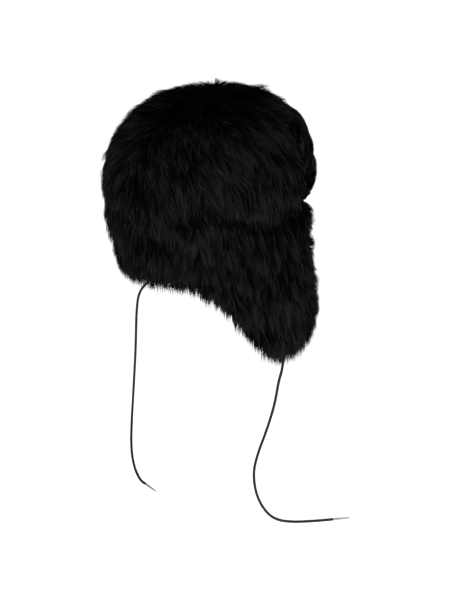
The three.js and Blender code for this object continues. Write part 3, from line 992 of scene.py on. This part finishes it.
class MakeCurtainHair(bpy.types.Operator):
    """Makes the hair of the ear flaps and the nape, which hangs past the edge of the hide"""

    bl_idname = "cap.make_curtain_hair"
    bl_label = "Flap and nape hair"

    def execute(self, context):
        sizes = context.scene.cap_sizes
        count = sizes.hairs_in_piece
        # Name, seed, length, depth as a share of the pile, and how far the hair gathers in locks
        layers = (
            ("curtain_short_hair", 41, 0.018, 0.88, 0.45),
            ("curtain_locks", 42, 0.0235, 1.0, 0.58),
        )
        for name, seed, length, depth, clump in layers:
            piece = hairs(
                name,
                curtain_surface,
                seed,
                count,
                (FLAP_FRONT, 360 - FLAP_FRONT),
                (0.0, 0.995),
                curtain_flow,
                curtain_rim,
                curtain_painted_shade,
                length,
                sizes.curtain_pile * ROOT_SHARE,
                sizes.curtain_pile * depth,
                sizes.hair_width,
                clump,
                sizes.lock_spacing,
            )
            finish_piece(piece, hair_finish(context), "fur")
        return {"FINISHED"}


class MakeVisorHair(bpy.types.Operator):
    """Makes the hair of the turned-up visor"""

    bl_idname = "cap.make_visor_hair"
    bl_label = "Visor hair"

    def execute(self, context):
        sizes = context.scene.cap_sizes
        piece = hairs(
            "visor_locks",
            visor_share_surface,
            51,
            sizes.hairs_in_piece * 3 // 4,
            (-VISOR_SPAN - 1.5, VISOR_SPAN + 1.5),
            (-0.03, 1.0),
            visor_flow,
            visor_rim,
            visor_painted_shade,
            0.015,
            sizes.visor_pile * ROOT_SHARE,
            sizes.visor_pile,
            sizes.hair_width,
            0.6,
            sizes.lock_spacing,
        )
        finish_piece(piece, hair_finish(context), "fur")
        return {"FINISHED"}


class MakeTies(bpy.types.Operator):
    """Makes the two braided ties and finishes their aglets"""

    bl_idname = "cap.make_ties"
    bl_label = "Ties and aglets"

    def execute(self, context):
        look = context.scene.cap_finish
        cord = grained("Braided cord", tuple(look.cord), 0.55, 2400.0, 0.0002, 0.2)
        sleeve = grained("Aglet", tuple(look.aglet), 0.28, 1200.0, 0.00003, 0.5)
        for side, route in (("right", TIE_RIGHT_ROUTE), ("left", TIE_LEFT_ROUTE)):
            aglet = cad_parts[f"aglet_{side}"]
            aglet.data.materials.clear()
            aglet.data.materials.append(sleeve)
            piece, points, length = braided_cord(f"tie_{side}_cord", route)
            finish_piece(piece, cord, "cord", f"tie_{side}")
        return {"FINISHED"}


def back_of(turn, rise):
    """Unit vector from the cap towards a viewer at that turn round it and rise above it, in degrees."""
    turn, rise = math.radians(turn), math.radians(rise)
    return Vector((math.sin(turn) * math.cos(rise), -math.cos(turn) * math.cos(rise), math.sin(rise)))


def studio_world():
    """White surroundings that show at full strength and light the cap at a lower one."""
    world = bpy.data.worlds.new("Studio")
    world.use_nodes = True
    tree = world.node_tree
    background = tree.nodes["Background"]
    background.inputs["Color"].default_value = (1, 1, 1, 1)
    seen = tree.nodes.new("ShaderNodeLightPath")
    strength = tree.nodes.new("ShaderNodeMapRange")
    strength.inputs["To Min"].default_value = WORLD_LIGHT
    strength.inputs["To Max"].default_value = 1.0
    tree.links.new(seen.outputs["Is Camera Ray"], strength.inputs["Value"])
    tree.links.new(strength.outputs["Result"], background.inputs["Strength"])
    return world


def soft_light(name, place, size, power):
    """A square area light that looks at the middle of the cap."""
    light = bpy.data.lights.new(name, "AREA")
    light.size = size
    light.energy = power
    lamp = bpy.data.objects.new(name, light)
    lamp.location = place
    lamp.rotation_euler = (Vector((0, 0, -0.1)) - Vector(place)).to_track_quat("-Z", "Y").to_euler()
    bpy.context.scene.collection.objects.link(lamp)


class MakeStage(bpy.types.Operator):
    """Makes the floor, the lights and the camera"""

    bl_idname = "cap.make_stage"
    bl_label = "Stage"

    def execute(self, context):
        white, shader = plain_material("Floor", tuple(context.scene.cap_finish.floor), 0.6, 0.2)
        signs = [(-1, -1), (1, -1), (1, 1), (-1, 1)]
        corners = [(x * FLOOR_REACH, y * FLOOR_REACH, FLOOR_LEVEL) for x, y in signs]
        floor = make_mesh("floor", corners, [0, 1, 2, 3], [4], smooth=False)
        floor.data.materials.append(white)
        shader.inputs["Emission Color"].default_value = (1, 1, 1, 1)
        shader.inputs["Emission Strength"].default_value = FLOOR_GLOW
        context.scene.world = studio_world()
        sun = bpy.data.lights.new("sun", "SUN")
        sun.energy = SUN_LIGHT
        sun.angle = math.radians(SUN_SPREAD)
        lamp = bpy.data.objects.new("sun", sun)
        lamp.rotation_euler = back_of(SUN_TURN, SUN_RISE).to_track_quat("Z", "Y").to_euler()
        context.scene.collection.objects.link(lamp)
        soft_light("side", back_of(SIDE_TURN, SIDE_RISE) * SIDE_DISTANCE, SIDE_SIZE, SIDE_POWER)
        back = back_of(CAMERA_TURN, CAMERA_RISE)
        right = Vector((0, 0, 1)).cross(back).normalized()
        upward = back.cross(right)
        data = bpy.data.cameras.new("camera")
        data.sensor_width = 36.0
        data.lens = CAMERA_LENS
        camera = bpy.data.objects.new("camera", data)
        target = Vector(CAMERA_TARGET) + right * CAMERA_ASIDE - upward * CAMERA_DOWN
        camera.location = target + back * CAMERA_DISTANCE
        camera.rotation_euler = (-back).to_track_quat("-Z", "Y").to_euler()
        context.scene.collection.objects.link(camera)
        context.scene.camera = camera
        context.scene.view_settings.view_transform = "Standard"
        return {"FINISHED"}


class CapPanel(bpy.types.Panel):
    """Lists the cap's pieces, sizes and colours."""

    bl_idname = "VIEW3D_PT_fur_cap"
    bl_label = "Fur cap"
    bl_space_type = "VIEW_3D"
    bl_region_type = "UI"
    bl_category = "Fur cap"

    def draw(self, context):
        column = self.layout.column()
        for group in (context.scene.cap_sizes, context.scene.cap_finish):
            for name in group.__annotations__:
                column.prop(group, name)
        for maker in MAKERS:
            column.operator(maker.bl_idname)


MAKERS = (MakeHide, MakeUndercoat, MakeCrownHair, MakeCurtainHair, MakeVisorHair, MakeTies, MakeStage)
CLASSES = (CapSizes, CapFinish, *MAKERS, CapPanel)


def register():
    for item in CLASSES:
        bpy.utils.register_class(item)
    bpy.types.Scene.cap_sizes = bpy.props.PointerProperty(type=CapSizes)
    bpy.types.Scene.cap_finish = bpy.props.PointerProperty(type=CapFinish)


def unregister():
    del bpy.types.Scene.cap_sizes
    del bpy.types.Scene.cap_finish
    for item in reversed(CLASSES):
        bpy.utils.unregister_class(item)


def main():
    register()
    bpy.ops.cap.make_hide()
    bpy.ops.cap.make_undercoat()
    bpy.ops.cap.make_crown_hair()
    bpy.ops.cap.make_curtain_hair()
    bpy.ops.cap.make_visor_hair()
    bpy.ops.cap.make_ties()
    bpy.ops.cap.make_stage()


if __name__ == "__main__":
    main()
